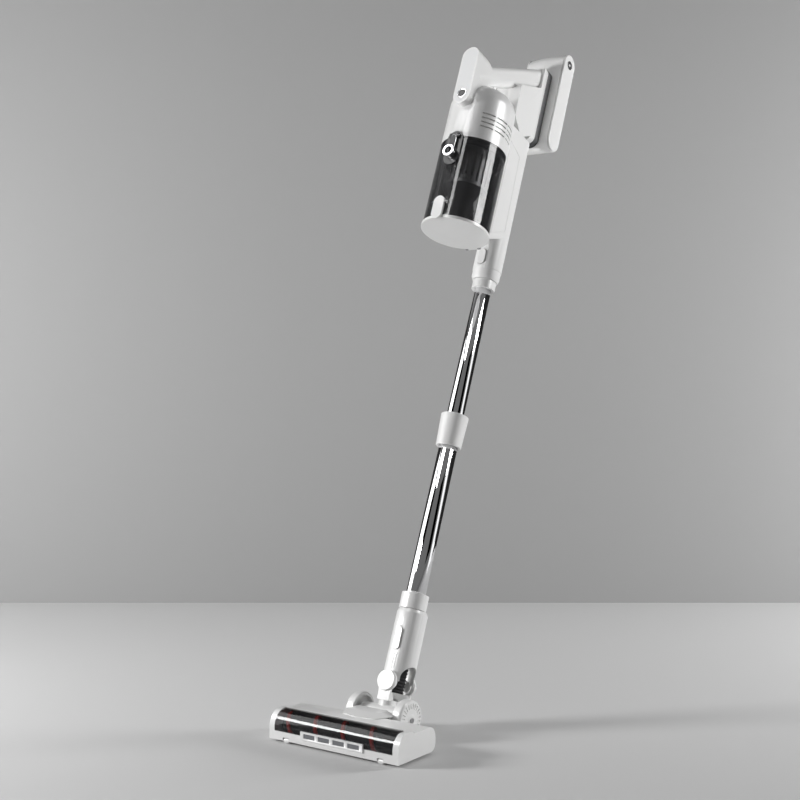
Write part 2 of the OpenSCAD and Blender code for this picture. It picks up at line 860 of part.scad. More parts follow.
module post_solid(inset) {
    intersection() {
        along_y(-post_front + inset, -post_front + post_depth + 12 - inset) {
            slot(grip_w - 2 * inset, post_bottom + inset, post_top - inset);
        }
        along_x(-60, 60) polygon([[-post_front, post_bottom], [-post_front + post_depth - inset, post_bottom],
            [-post_front + post_depth + 12 - inset, 1040], [-post_front + post_depth + 12 - inset, 1072 - inset],
            [-post_front + 26, post_top - inset], [-post_front, post_top]]);
    }
}

module block_solid(inset) {
    along_x(-block_w / 2 + inset, block_w / 2 - inset) intersection() {
        soft_rect([block_front + inset, block_low - 8 + inset], [block_back - inset, block_high], 7);
        polygon([[block_front, block_low + block_rise + inset], [-24, block_low + inset],
            [block_back, block_low + block_rise + inset], [block_back, block_high - inset],
            [block_front, block_high_front - inset]]);
    }
}

// Flat-backed flange that the battery pack seats on
module seat_solid(inset) {
    along_y(seat_front + inset, seat_back) {
        soft_rect([-seat_half + inset, seat_low + inset], [seat_half - inset, seat_high - inset], seat_corner);
    }
}

module handle_solid(inset) {
    grip_solid(inset);
    post_solid(inset);
    block_solid(inset);
    difference() {
        seat_solid(inset);
        translate([-40, seat_back - (inset > 0 ? inset : -1), 900]) cube([80, 40, 400]);
    }
}

module handle_half() {
    stick() difference() {
        handle_solid(0);
        handle_solid(shell_wall);
        translate([0, cup_axis, 0]) dome_solid(0.3);
        along_z(900, column_top) circle(column_r + 40);
        along_x(-80, 0) translate([-300, 800]) square([500, 500]);
        along_y(-post_front - 1, -post_front + 1) slot(grip_w - 5, post_bottom + 2.5, post_top - 2.5);
        rod_y(-post_front - 1, -post_front + 9, 0, button_z, 8.6);
        trigger_space();
        rod_x(-20, grip_w / 2 - 1, trigger_pin_y, trigger_pin_z, pin_r);
        along_y(seat_back - 4, seat_back + 1) {
            soft_rect([-contact_half - 0.5, contact_low - 2], [contact_half + 0.5, contact_high + 2], 3);
        }
    }
}

module handle_shell_right() { color(white) handle_half(); }

module handle_shell_left() { color(white) mirror([1, 0, 0]) handle_half(); }

// Room under the grip that the trigger moves in
module trigger_space() {
    along_x(-trigger_half - move_gap, trigger_half + move_gap) {
        translate([trigger_pin_y, trigger_pin_z]) {
            polygon([[-8, -12.5], [52, -12.5], [52, 27.5], [26, 15.5], [-8, 7.5]]);
        }
    }
}

module post_face_plate() {
    color(pale_grey) stick() difference() {
        along_y(-post_front, -post_front + 1) slot(grip_w - 5, post_bottom + 2.5, post_top - 2.5);
        rod_y(-post_front - 1, -post_front + 2, 0, button_z, 8.6);
    }
}

module power_button() {
    color(dark) stick() rod_y(-post_front + 0.6, -post_front + 6, 0, button_z, 8.2);
}

// Blade-shaped trigger behind the front post, with a hooked rear edge
module trigger() {
    color(white) stick() difference() {
        along_x(-trigger_half, trigger_half) translate([trigger_pin_y, trigger_pin_z]) {
            polygon([[-4, -4.7], [32, -4.3], [40, -2.5], [45, 4.5], [48, 17.5], [44, 16.5], [38, 8.5],
                [26, 5], [-4, 4.5]]);
        }
        rod_x(-10, 10, trigger_pin_y, trigger_pin_z, pin_r + run_gap);
    }
}

module trigger_pin() {
    color(chrome_grey) stick() rod_x(-grip_w / 2 + 1, grip_w / 2 - 1, trigger_pin_y, trigger_pin_z, pin_r);
}

module control_board() {
    half = column_r - shell_wall - 0.3;
    color("#2f6b3f") stick() translate([-half, -30, 900]) cube([2 * half, 1.6, 90]);
}

// ------------------------------------------------------------- motor and cup

// Motor cover: a straight wall closed by a flattened crown, grown by extra
module dome_solid(extra) {
    r = cup_r + extra;
    rise = dome_top - dome_shoulder + extra;
    rotate_extrude() polygon(concat([[0, dome_low], [r, dome_low]],
        [for (a = [0:6:90]) [r * cos(a), dome_shoulder + rise * sin(a)]]));
}

module motor_cover() {
    color(white) stick() translate([0, cup_axis, 0]) difference() {
        dome_solid(0);
        difference() {
            dome_solid(-shell_wall);
            translate([0, 0, shroud_low - 3]) cylinder(h = 3, r = cup_r);
        }
        translate([0, 0, cup_top - 1]) cylinder(h = 20, r = motor_r - 4);
        translate([0, 0, cup_top - 1]) cylinder(h = shroud_low - 2 - cup_top, r = cup_r - shell_wall);
        for (row = [0:3], side = [0, 1], group = [0:3]) {
            mirror([side, 0, 0]) rotate([0, 0, -90 + 37 + group * 27.5]) {
                translate([0, 0, cup_top + 22 + row * 8]) rotate_extrude(angle = 24) {
                    translate([cup_r - 5, 0]) square([10, 2.6]);
                }
            }
        }
        translate([0, -cup_r - 10, 0]) cup_latch_pocket();
    }
}

module suction_motor() {
    color(mid_grey) stick() translate([0, cup_axis, 0]) {
        translate([0, 0, fan_room_top]) cylinder(h = dome_shoulder - fan_room_top, r = motor_r - 7);
        tube_z(shroud_low, fan_room_top, motor_r, motor_r - 3);
        difference() {
            translate([0, 0, fan_room_top - 4]) cylinder(h = 4, r = motor_r);
            translate([0, 0, fan_room_top - 9]) cylinder(h = 8, r = fan_shaft_r + run_gap);
        }
    }
}

module motor_fan() {
    color(chrome_grey) stick() translate([0, cup_axis, shroud_low + 7]) {
        cylinder(h = 3, r = 34);
        cylinder(h = 14, r = 8);
        cylinder(h = 20.6, r = fan_shaft_r);
        for (i = [0:8]) {
            rotate([0, 0, i * 40]) translate([6, -1, 0]) cube([26, 2, 11]);
        }
    }
}

module exhaust_filter() {
    color("#e6e6e2") stick() translate([0, cup_axis, 0]) {
        tube_z(shroud_low, shroud_low + 44, cup_r - shell_wall - 0.6, motor_r + 0.6);
    }
}

module inlet_filter() {
    color("#dcdcd8") stick() translate([0, cup_axis, 0]) {
        translate([0, 0, cup_top - 16]) cylinder(h = 14, r = screen_r - 2.3);
    }
}

module dust_cup() {
    color("#4a4a50", 0.5) stick() translate([0, cup_axis, 0]) difference() {
        union() {
            tube_z(cup_bottom, cup_top, cup_r, cup_r - cup_wall);
            tube_z(cup_top - 4, cup_top, cup_r - cup_wall + eps, screen_r - 2);
            lid_ears();
            intersection() {
                rod_y(cup_r - 6, cup_r + 2, 0, outlet_z, outlet_r + 2);
                cylinder(h = dome_top, r = cup_r + 0.6);
            }
        }
        rod_y(cup_r - 12, cup_r + 2, 0, outlet_z, outlet_r);
        translate([0, -cup_r - 10, 0]) cup_latch_pocket();
    }
}

module cyclone_screen() {
    color(mid_grey) stick() translate([0, cup_axis, 0]) difference() {
        tube_z(cone_high, cup_top - 4, screen_r, screen_r - 2);
        for (i = [0:23]) {
            rotate([0, 0, i * 15]) translate([screen_r - 4, -2, cone_high + 6]) cube([8, 4, screen_drop - 22]);
        }
    }
}

// The cone hangs from the screen and ends in a tube about a third of the cup wide
cone_r = 0.34 * cup_r;
cone_wall = 2.6;
cone_high = cup_top - screen_drop;
cone_low = cone_high - 0.28 * (cup_top - cup_bottom);
cone_end = cone_low - 0.14 * (cup_top - cup_bottom);

module cyclone_cone() {
    color(dark) stick() translate([0, cup_axis, 0]) difference() {
        union() {
            translate([0, 0, cone_low]) cylinder(h = cone_high - cone_low, r1 = cone_r, r2 = screen_r);
            tube_z(cone_end, cone_low + 0.2, cone_r, 0);
        }
        translate([0, 0, cone_low])
            cylinder(h = cone_high - cone_low + 0.1, r1 = cone_r - cone_wall, r2 = screen_r - cone_wall);
        translate([0, 0, cone_end - 1]) cylinder(h = cone_low - cone_end + 2, r = cone_r - cone_wall);
    }
}

// ---------------------------------------------------------- lid and latches

lid_top = cup_bottom - 0.3;
hinge_y = cup_r + 4;
hinge_z = lid_top - lid_t / 2;
latch_y = -cup_r - 4;
latch_z = cup_bottom + 22;
latch_half = 10;
ear_w = 3;
pin_r = 1.2;

// Ears on the cup for the lid's hinge pin and for the lid latch's pin
module lid_ears() {
    mirror_x() difference() {
        union() {
            translate([9.4, cup_r - 1, hinge_z]) cube([4, 5, lid_t]);
            rod_x(9.4, 13.4, hinge_y, hinge_z, 2.5);
        }
        rod_x(9, 14, hinge_y, hinge_z, pin_r);
        translate([0, 0, hinge_z - 5]) cylinder(h = lid_top - hinge_z + 5.3, r = cup_r + 1.9);
    }
    mirror_x() difference() {
        translate([latch_half + move_gap, -cup_r - 6, latch_z - 3]) cube([ear_w, 9, 6]);
        rod_x(latch_half, latch_half + ear_w + 1, latch_y, latch_z, pin_r);
        translate([0, 0, latch_z - 5]) cylinder(h = 10, r = cup_r - 0.5);
    }
}

module bottom_lid() {
    color(white) stick() translate([0, cup_axis, 0]) difference() {
        union() {
            translate([0, 0, lid_top - lid_t]) cylinder(h = lid_t, r = lid_r);
            rod_x(-9, 9, hinge_y, hinge_z, 2.5);
            translate([-9, cup_r - 4, lid_top - lid_t]) cube([18, 8, lid_t]);
        }
        rod_x(-10, 10, hinge_y, hinge_z, pin_r + run_gap);
    }
}

// Steel pins of the lid's hinge, the lid's latch and the cup's lever
module cup_pins() {
    color(chrome_grey) stick() translate([0, cup_axis, 0]) {
        rod_x(-13.4, 13.4, hinge_y, hinge_z, pin_r);
        rod_x(-latch_half - move_gap - ear_w, latch_half + move_gap + ear_w, latch_y, latch_z, pin_r);
        translate([0, -cup_r - 10, 0]) rod_x(-9, 9, 5.3, lever_z, pin_r);
    }
}

// Latch plate in front of the lid's rim
module lid_latch() {
    color(white) stick() translate([0, cup_axis, 0]) difference() {
        along_y(-cup_r - 6, -lid_r - move_gap) slot(2 * latch_half, lid_top - lid_t - 3.4, cup_bottom + 32);
        rod_x(-latch_half - 1, latch_half + 1, latch_y, latch_z, pin_r + run_gap);
    }
}

module cup_latch_pocket() {
    along_y(0, 11) slot(recess_w, recess_low, recess_high);
}

// Dark backing plate with two ears for the lever's pin
module cup_latch_plate() {
    color(dark) stick() translate([0, cup_axis - cup_r - 10, 0]) {
        along_y(8, 10.6) slot(recess_w, recess_low, recess_high);
        mirror_x() difference() {
            translate([6, 3, lever_z - 3]) cube([3, 6, 6]);
            rod_x(5, 10, 5.3, lever_z, pin_r);
        }
    }
}

// Lever with a finger ring at its lower end
module cup_latch_lever() {
    color(chrome_grey) stick() translate([0, cup_axis - cup_r - 10, 0]) difference() {
        union() {
            along_y(3, 7.6) translate([-5.6, ring_z]) square([11.2, lever_z - ring_z]);
            rod_x(-5.6, 5.6, 5.3, lever_z, 2.3);
            rod_y(-4, 7.6, 0, ring_z, 10);
        }
        rod_y(-5, 10, 0, ring_z, 6.8);
        rod_x(-8, 8, 5.3, lever_z, pin_r + run_gap);
    }
}

// ------------------------------------------------------------------ battery

module battery_gasket() {
    color("#55575b") stick() difference() {
        along_y(seat_back, seat_back + gasket_t) {
            soft_rect([-seat_half - 0.5, seat_low - 0.5], [seat_half + 0.5, seat_high + 0.5], seat_corner + 0.5);
        }
        along_y(seat_back - 1, seat_back + gasket_t + 1) {
            soft_rect([-seat_half + 5, seat_low + 5], [seat_half - 5, seat_high - 5], seat_corner - 5);
        }
    }
}

module battery_side(inset) {
    translate([battery_mid, 0]) slot(battery_d - 2 * inset, battery_bottom + inset, battery_top - inset);
}

module battery_case() {
    color(white) stick() difference() {
        along_x(-battery_w / 2 + plate_t, battery_w / 2 - plate_t) battery_side(0);
        along_x(-battery_w / 2 + plate_t + case_wall, battery_w / 2 - plate_t - case_wall) {
            battery_side(case_wall);
        }
    }
    color(white) stick() translate([-contact_half, battery_front - 6, contact_low]) {
        cube([2 * contact_half, 7, contact_high - contact_low]);
    }
}

module battery_side_plates() {
    color(white) stick() mirror_x() difference() {
        along_x(battery_w / 2 - plate_t, battery_w / 2) battery_side(0.8);
        along_x(battery_w / 2 - 1, battery_w / 2 + 1) {
            translate([battery_mid, battery_top - battery_d / 2]) circle(7.5);
        }
    }
}

// A column of cells lying across the pack
module battery_cells() {
    pitch = (battery_top - battery_bottom - battery_d) / (cell_count - 1);
    half = battery_w / 2 - plate_t - case_wall - 0.3;
    color("#3f6ea8") stick() for (i = [0:cell_count - 1]) {
        rod_x(-half, half, battery_mid, battery_bottom + battery_d / 2 + i * pitch, cell_r);
    }
}

// --------------------------------------------------------------- what is drawn

sole_chassis();
head_cover();
roller_window();
end_cap_right();
end_cap_left();
sole_felt_strip();
led_bar_frame();
led_lenses();
brush_roller();
bristle_spiral();
roller_bearings();
roller_pulley();
brush_motor();
motor_pulley();
drive_belt();
front_wheel_right();
front_wheel_left();
rear_wheel_right();
rear_wheel_left();
wheel_axle();
neck_cradle();
cradle_cowl();
lower_neck();
swivel_pins();
swivel_housing();
flexible_hose();
head_release_button();
lower_wand_sleeve();
lower_tube();
telescope_bush();
telescope_collar();
upper_tube();
upper_wand_sleeve();
column_shell();
side_panels();
wand_release_button();
handle_shell_right();
handle_shell_left();
post_face_plate();
power_button();
trigger();
trigger_pin();
control_board();
motor_cover();
suction_motor();
motor_fan();
exhaust_filter();
inlet_filter();
dust_cup();
cyclone_screen();
cyclone_cone();
bottom_lid();
cup_pins();
lid_latch();
cup_latch_plate();
cup_latch_lever();
battery_gasket();
battery_case();
battery_side_plates();
battery_cells();
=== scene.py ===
import json
import math

import bmesh
import bpy
import numpy as np
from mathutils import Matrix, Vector


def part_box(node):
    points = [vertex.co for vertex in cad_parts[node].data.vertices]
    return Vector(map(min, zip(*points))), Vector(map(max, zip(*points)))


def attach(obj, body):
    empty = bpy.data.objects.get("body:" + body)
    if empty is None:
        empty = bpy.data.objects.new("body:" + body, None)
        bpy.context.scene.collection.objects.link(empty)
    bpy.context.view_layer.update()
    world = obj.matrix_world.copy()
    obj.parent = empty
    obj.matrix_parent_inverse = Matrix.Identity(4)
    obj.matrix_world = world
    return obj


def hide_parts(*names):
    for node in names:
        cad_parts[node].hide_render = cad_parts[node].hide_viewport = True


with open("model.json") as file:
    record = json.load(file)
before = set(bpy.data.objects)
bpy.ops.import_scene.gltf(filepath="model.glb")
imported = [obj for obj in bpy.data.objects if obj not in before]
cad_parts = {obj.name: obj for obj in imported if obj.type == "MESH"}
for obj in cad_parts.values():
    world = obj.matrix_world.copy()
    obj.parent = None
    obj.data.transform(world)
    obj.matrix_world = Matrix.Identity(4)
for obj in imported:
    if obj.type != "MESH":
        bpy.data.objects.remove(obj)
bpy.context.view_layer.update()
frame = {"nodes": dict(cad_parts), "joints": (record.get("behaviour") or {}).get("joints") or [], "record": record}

# ------------------------------------------------------------------ The room
# A pale floor that meets a grey wall a metre behind the vacuum, a long lens at desk height,
# soft boxes round about, and cards that only show mirrored in the shiny pieces. The wall
# is only there when seen from its front.

LENS_YAW = math.radians(35.8)
LENS_TILT = math.radians(1.25)
LENS_AT = Vector((1.174, -1.507, 0.557))
LENS_MM, SENSOR_MM = 58.05, 36
WALL_AHEAD, WALL_HIGH = 3.10, 6
ROOM_SPREAD = 8.0
FLOOR_TONE, WALL_TONE, AIR_TONE = 0.61, 0.385, 0.16
VACUUM_AT = Vector((0, 0.30, 0.60))
ahead = Vector((-math.sin(LENS_YAW), math.cos(LENS_YAW), 0))
aside = Vector((math.cos(LENS_YAW), math.sin(LENS_YAW), 0))

camera = bpy.data.objects.new("camera", bpy.data.cameras.new("camera"))
bpy.context.collection.objects.link(camera)
camera.location = LENS_AT
aim = ahead * math.cos(LENS_TILT) - Vector((0, 0, math.sin(LENS_TILT)))
camera.rotation_mode = "QUATERNION"
camera.rotation_quaternion = aim.to_track_quat("-Z", "Y")
camera.data.lens = LENS_MM
camera.data.sensor_width = SENSOR_MM
bpy.context.scene.camera = camera
bpy.context.scene.view_settings.view_transform = "Standard"


def stage_sheet(name, corners, tone, see_through=False):
    """One four-cornered sheet in a plain matt tone; with see_through, it's clear from behind."""
    mesh = bpy.data.meshes.new(name)
    mesh.from_pydata(corners, [], [(0, 1, 2, 3)])
    sheet = bpy.data.objects.new(name, mesh)
    bpy.context.collection.objects.link(sheet)
    paint = bpy.data.materials.new(name)
    paint.use_nodes = True
    nodes, links = paint.node_tree.nodes, paint.node_tree.links
    shader = nodes["Principled BSDF"]
    shader.inputs["Base Color"].default_value = (tone, tone, tone, 1)
    shader.inputs["Roughness"].default_value = 0.9
    shader.inputs["Specular IOR Level"].default_value = 0.1
    if see_through:
        behind = nodes.new("ShaderNodeNewGeometry")
        clear = nodes.new("ShaderNodeBsdfTransparent")
        mix = nodes.new("ShaderNodeMixShader")
        links.new(behind.outputs["Backfacing"], mix.inputs[0])
        links.new(shader.outputs[0], mix.inputs[1])
        links.new(clear.outputs[0], mix.inputs[2])
        links.new(mix.outputs[0], nodes["Material Output"].inputs["Surface"])
    mesh.materials.append(paint)


corner_signs = ((-1, -1), (1, -1), (1, 1), (-1, 1))
stage_sheet("floor", [(x * ROOM_SPREAD, y * ROOM_SPREAD, 0) for x, y in corner_signs], FLOOR_TONE)
wall_foot = LENS_AT + ahead * WALL_AHEAD
left, right = wall_foot - aside * ROOM_SPREAD, wall_foot + aside * ROOM_SPREAD
wall_corners = [(left.x, left.y, 0), (right.x, right.y, 0),
                (right.x, right.y, WALL_HIGH), (left.x, left.y, WALL_HIGH)]
stage_sheet("wall", wall_corners, WALL_TONE, see_through=True)


def soft_box(name, turn, away, height, width, tall, watts):
    """A rectangular lamp, turn degrees round from the lens to the right and aimed at the vacuum.
    It casts light and shadow but isn't mirrored."""
    lamp = bpy.data.lights.new(name, "AREA")
    lamp.shape = "RECTANGLE"
    lamp.size, lamp.size_y, lamp.energy = width, tall, watts
    holder = bpy.data.objects.new(name, lamp)
    bpy.context.collection.objects.link(holder)
    holder.visible_glossy = False
    side = math.radians(turn)
    holder.location = VACUUM_AT - ahead * away * math.cos(side) + aside * away * math.sin(side)
    holder.location.z = height
    holder.rotation_mode = "QUATERNION"
    holder.rotation_quaternion = (VACUUM_AT - holder.location).to_track_quat("-Z", "Y")


soft_box("right_box", turn=98, away=2.2, height=0.70, width=0.5, tall=1.1, watts=44)
soft_box("left_box", turn=-82, away=2.2, height=0.80, width=0.4, tall=0.45, watts=41)
soft_box("top_box", turn=-25, away=1.4, height=3.0, width=2.4, tall=2.4, watts=11)


def mirror_card(name, turns, away, low, high, glow):
    """An upright curved card, from turns[0] to turns[1] degrees round from the lens, that only shows
    in mirrored light: its point (a, h) lies away metres from the vacuum's middle in the direction of
    a, at height h."""
    steps = 12
    turn = np.radians(np.linspace(turns[0], turns[1], steps + 1))
    x = VACUUM_AT.x - ahead.x * away * np.cos(turn) + aside.x * away * np.sin(turn)
    y = VACUUM_AT.y - ahead.y * away * np.cos(turn) + aside.y * away * np.sin(turn)
    rows = np.concatenate([np.stack([x, y, np.full_like(x, height)], 1) for height in (low, high)])
    quads = [(i, i + 1, i + steps + 2, i + steps + 1) for i in range(steps)]
    mesh = bpy.data.meshes.new(name)
    mesh.from_pydata(rows.tolist(), [], quads)
    card = bpy.data.objects.new(name, mesh)
    bpy.context.collection.objects.link(card)
    paint = bpy.data.materials.new(name)
    paint.use_nodes = True
    shader = paint.node_tree.nodes["Principled BSDF"]
    shader.inputs["Base Color"].default_value = (0, 0, 0, 1)
    shader.inputs["Specular IOR Level"].default_value = 0
    shader.inputs["Emission Color"].default_value = (1, 1, 1, 1)
    shader.inputs["Emission Strength"].default_value = glow
    mesh.materials.append(paint)
    for ray in ("camera", "diffuse", "transmission", "volume_scatter", "shadow"):
        setattr(card, "visible_" + ray, False)


# Pale and dark cards on the left give the tubes their streaks; the strips among them are for
# the roller window, the cup's lever and the cup. Those on the right do the same.
mirror_card("far_left_dark", (-172, -113), away=1.0, low=0, high=1.40, glow=0.03)
mirror_card("left_white", (-112, -67), away=1.0, low=0, high=1.44, glow=2.4)
mirror_card("left_black", (-66, -38), away=1.0, low=0.64, high=1.66, glow=0.0)
mirror_card("window_strip", (-84, -56), away=0.98, low=0.42, high=0.66, glow=24.0)
mirror_card("lever_strip", (-86, -60), away=1.0, low=1.67, high=2.60, glow=6.0)
mirror_card("cup_strip", (-58, -32), away=0.97, low=1.50, high=3.4, glow=9.0)
mirror_card("right_black", (20, 48), away=1.0, low=0.3, high=1.35, glow=0.0)
mirror_card("right_low", (60, 84), away=1.0, low=0, high=1.02, glow=1.2)
mirror_card("right_high", (63, 88), away=1.0, low=1.02, high=1.70, glow=14.0)
mirror_card("right_dark", (90, 170), away=1.0, low=0, high=1.6, glow=0.02)

world = bpy.data.worlds.new("studio")
world.use_nodes = True
bpy.context.scene.world = world
air = world.node_tree.nodes["Background"]
air.inputs["Color"].default_value = (AIR_TONE, AIR_TONE, AIR_TONE, 1)
air.inputs["Strength"].default_value = 1.0

# -------------------------------------------------- Chassis, cover and end caps
# The floor head's body: a ribbed ABS chassis, a cover over its rear half and two deep
# end caps, all moulded in gloss white and screwed together from below.

bodies = frame["record"]["behaviour"]["bodies"]
body_of = {node: body for body, nodes in bodies.items() for node in nodes}
CLOUD_SCALE, CLOUD_DETAIL = 14.0, 4.0
GRAIN_HIGH = 0.0004


def make_surface_group():
    """Node group: fine mould grain as a bump, and slow noise that shifts tone and roughness."""
    group = bpy.data.node_groups.new("surface_grain", "ShaderNodeTree")
    for name, kind, value in (("Colour", "NodeSocketColor", (0.8, 0.8, 0.8, 1)),
                              ("Roughness", "NodeSocketFloat", 0.3),
                              ("Grain size", "NodeSocketFloat", 900.0),
                              ("Grain depth", "NodeSocketFloat", 0.05),
                              ("Tone shift", "NodeSocketFloat", 0.03),
                              ("Smudge", "NodeSocketFloat", 0.05)):
        group.interface.new_socket(name, in_out="INPUT", socket_type=kind).default_value = value
    for name, kind in (("Colour", "NodeSocketColor"), ("Roughness", "NodeSocketFloat"),
                       ("Normal", "NodeSocketVector")):
        group.interface.new_socket(name, in_out="OUTPUT", socket_type=kind)
    nodes, links = group.nodes, group.links
    given, out = nodes.new("NodeGroupInput"), nodes.new("NodeGroupOutput")
    place = nodes.new("ShaderNodeTexCoord")
    grain, cloud = nodes.new("ShaderNodeTexNoise"), nodes.new("ShaderNodeTexNoise")
    cloud.inputs["Scale"].default_value = CLOUD_SCALE
    cloud.inputs["Detail"].default_value = CLOUD_DETAIL
    links.new(place.outputs["Object"], grain.inputs["Vector"])
    links.new(place.outputs["Object"], cloud.inputs["Vector"])
    links.new(given.outputs["Grain size"], grain.inputs["Scale"])
    bump = nodes.new("ShaderNodeBump")
    bump.inputs["Distance"].default_value = GRAIN_HIGH
    links.new(given.outputs["Grain depth"], bump.inputs["Strength"])
    links.new(grain.outputs["Fac"], bump.inputs["Height"])
    links.new(bump.outputs["Normal"], out.inputs["Normal"])
    centred = nodes.new("ShaderNodeMath")
    centred.operation = "SUBTRACT"
    centred.inputs[1].default_value = 0.5
    links.new(cloud.outputs["Fac"], centred.inputs[0])
    for amount, socket, add in (("Tone shift", "Colour", "ShaderNodeVectorMath"),
                                ("Smudge", "Roughness", "ShaderNodeMath")):
        scaled, shifted = nodes.new("ShaderNodeMath"), nodes.new(add)
        scaled.operation, shifted.operation = "MULTIPLY", "ADD"
        links.new(centred.outputs[0], scaled.inputs[0])
        links.new(given.outputs[amount], scaled.inputs[1])
        links.new(given.outputs[socket], shifted.inputs[0])
        links.new(scaled.outputs[0], shifted.inputs[1])
        links.new(shifted.outputs[0], out.inputs[socket])
    return group


surface_grain = make_surface_group()


def finish(name, colour, roughness, grain=(900.0, 0.05), shift=0.02, smudge=0.06, metallic=0.0,
           coat=0.0):
    """A Principled material whose colour, roughness and normal come through the surface_grain group.
    grain is the size and the depth of the mould grain, and shift and smudge say how much the slow
    noise changes the colour and the roughness."""
    made = bpy.data.materials.new(name)
    made.use_nodes = True
    nodes, links = made.node_tree.nodes, made.node_tree.links
    shader = nodes["Principled BSDF"]
    group = nodes.new("ShaderNodeGroup")
    group.node_tree = surface_grain
    group.inputs["Colour"].default_value = (*colour, 1)
    group.inputs["Roughness"].default_value = roughness
    group.inputs["Grain size"].default_value, group.inputs["Grain depth"].default_value = grain
    group.inputs["Tone shift"].default_value = shift
    group.inputs["Smudge"].default_value = smudge
    links.new(group.outputs["Colour"], shader.inputs["Base Color"])
    links.new(group.outputs["Roughness"], shader.inputs["Roughness"])
    links.new(group.outputs["Normal"], shader.inputs["Normal"])
    shader.inputs["Metallic"].default_value = metallic
    shader.inputs["Coat Weight"].default_value = coat
    return made


def link_piece(name, mesh, node, material, stands_for=True):
    """Puts a finished mesh in the scene on the body of the CAD node it belongs to. Where
    it stands for that node, it replaces it."""
    piece = bpy.data.objects.new(name, mesh)
    bpy.context.collection.objects.link(piece)
    mesh.materials.clear()
    mesh.materials.append(material)
    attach(piece, body_of[node])
    if stands_for:
        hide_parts(node)
    return piece


MERGE_WITHIN = 2e-6
SEAM_WITHIN = 3e-4
FLAT_WITHIN = math.radians(0.6)


def moulded(node, material, width, steps=3, limit=32, join=True, seam=False):
    """A CAD node with its loose triangles merged, its flat faces joined if join is set, and its edges
    sharper than limit degrees rounded over width metres. With a seam, the hidden flat where two
    shells meet at x = 0 goes, so that its edge isn't rounded."""
    mesh = frame["nodes"][node].data.copy()
    work = bmesh.new()
    work.from_mesh(mesh)
    bmesh.ops.remove_doubles(work, verts=work.verts, dist=MERGE_WITHIN)
    if seam:
        flat = [face for face in work.faces
                if max(abs(vertex.co.x) for vertex in face.verts) < SEAM_WITHIN]
        bmesh.ops.delete(work, geom=flat, context="FACES")
    if join:
        bmesh.ops.dissolve_limit(work, angle_limit=FLAT_WITHIN, verts=work.verts, edges=work.edges)
        bmesh.ops.connect_verts_concave(work, faces=work.faces)
    weight = work.edges.layers.float.new("bevel_weight_edge")
    for edge in work.edges:
        edge[weight] = float(edge.is_manifold and edge.calc_face_angle(0) > math.radians(limit))
    work.to_mesh(mesh)
    work.free()
    mesh.shade_smooth()
    mesh.set_sharp_from_angle(angle=math.radians(limit))
    piece = link_piece(node + "_moulded", mesh, node, material)
    if width:
        round_off = piece.modifiers.new("round_off", "BEVEL")
        round_off.width, round_off.segments = width, steps
        round_off.limit_method = "WEIGHT"
        round_off.harden_normals = True
        round_off.use_clamp_overlap = True


WHITE = finish("white_plastic", (0.80, 0.80, 0.795), 0.30, (1100.0, 0.03), coat=0.25)
moulded("sole_chassis", WHITE, 0.0008)
moulded("head_cover", WHITE, 0.0008)
for side in ("right", "left"):
    moulded("end_cap_" + side, WHITE, 0.0022, steps=5)

# -------------------------------------------------------- Felt strip and window
# A dark felt strip lies in the sole behind the roller. The window is a curved sheet of
# smoked clear plastic, snapped between the caps so that the turning brush can be seen.

moulded("sole_felt_strip", finish("felt", (0.02, 0.02, 0.02), 0.95, (1500.0, 0.8)), 0.0003)


def smoked(name, colour, alpha, roughness):
    """A thin smoked plastic: glossy, and seen through by its alpha."""
    made = finish(name, colour, roughness, grain=(300.0, 0.0), shift=0.0, smudge=0.02, coat=0.6)
    made.node_tree.nodes["Principled BSDF"].inputs["Alpha"].default_value = alpha
    return made


WINDOW = smoked("smoked_window", (0.012, 0.012, 0.013), alpha=0.42, roughness=0.05)
moulded("roller_window", WINDOW, 0)

# ------------------------------------------------------------------ Lamp bar
# A bright frame with five posts lies along the window's foot, and a dark grey diffuser
# sits behind each of its four openings. It's pressed into the lip.

BRIGHT = finish("bright_chrome", (0.95, 0.95, 0.95), 0.22, grain=(60.0, 0.0), shift=0.01, smudge=0.02,
                metallic=0.2)
moulded("led_bar_frame", BRIGHT, 0, join=False)
moulded("led_lenses", finish("lens", (0.17, 0.175, 0.185), 0.25, (700.0, 0.1)), 0.0002)

# ------------------------------------------------------------------- Roller
# A dark tube on a steel shaft with a wound ribbon of red nylon bristles, two sintered
# bearings, and the belt drive from the motor that lies behind it.

moulded("brush_roller", finish("roller_core", (0.020, 0.020, 0.022), 0.45, (500.0, 0.15)), 0.0006)
moulded("bristle_spiral", finish("bristle", (0.75, 0.035, 0.025), 0.75, (2500.0, 0.8)), 0)

STEEL = finish("steel", (0.55, 0.55, 0.56), 0.3, (400.0, 0.1), shift=0.03, smudge=0.1, metallic=1.0)
DARK = finish("dark_plastic", (0.012, 0.012, 0.013), 0.25)
MOTOR = finish("motor_metal", (0.45, 0.46, 0.48), 0.35, metallic=1.0)
moulded("roller_bearings", STEEL, 0.0003)
moulded("roller_pulley", DARK, 0.0004)
moulded("motor_pulley", DARK, 0.0004)
moulded("brush_motor", MOTOR, 0.0005)
moulded("drive_belt", finish("belt_rubber", (0.012, 0.012, 0.012), 0.7, (700.0, 0.2)), 0)

# ------------------------------------------------------------------- Wheels
# Two broad rear wheels of soft-edged white plastic on one steel axle, each with a ring
# of radial slots round its face, and two small rollers under the front lip. The wheels'
# sizes are in millimetres.

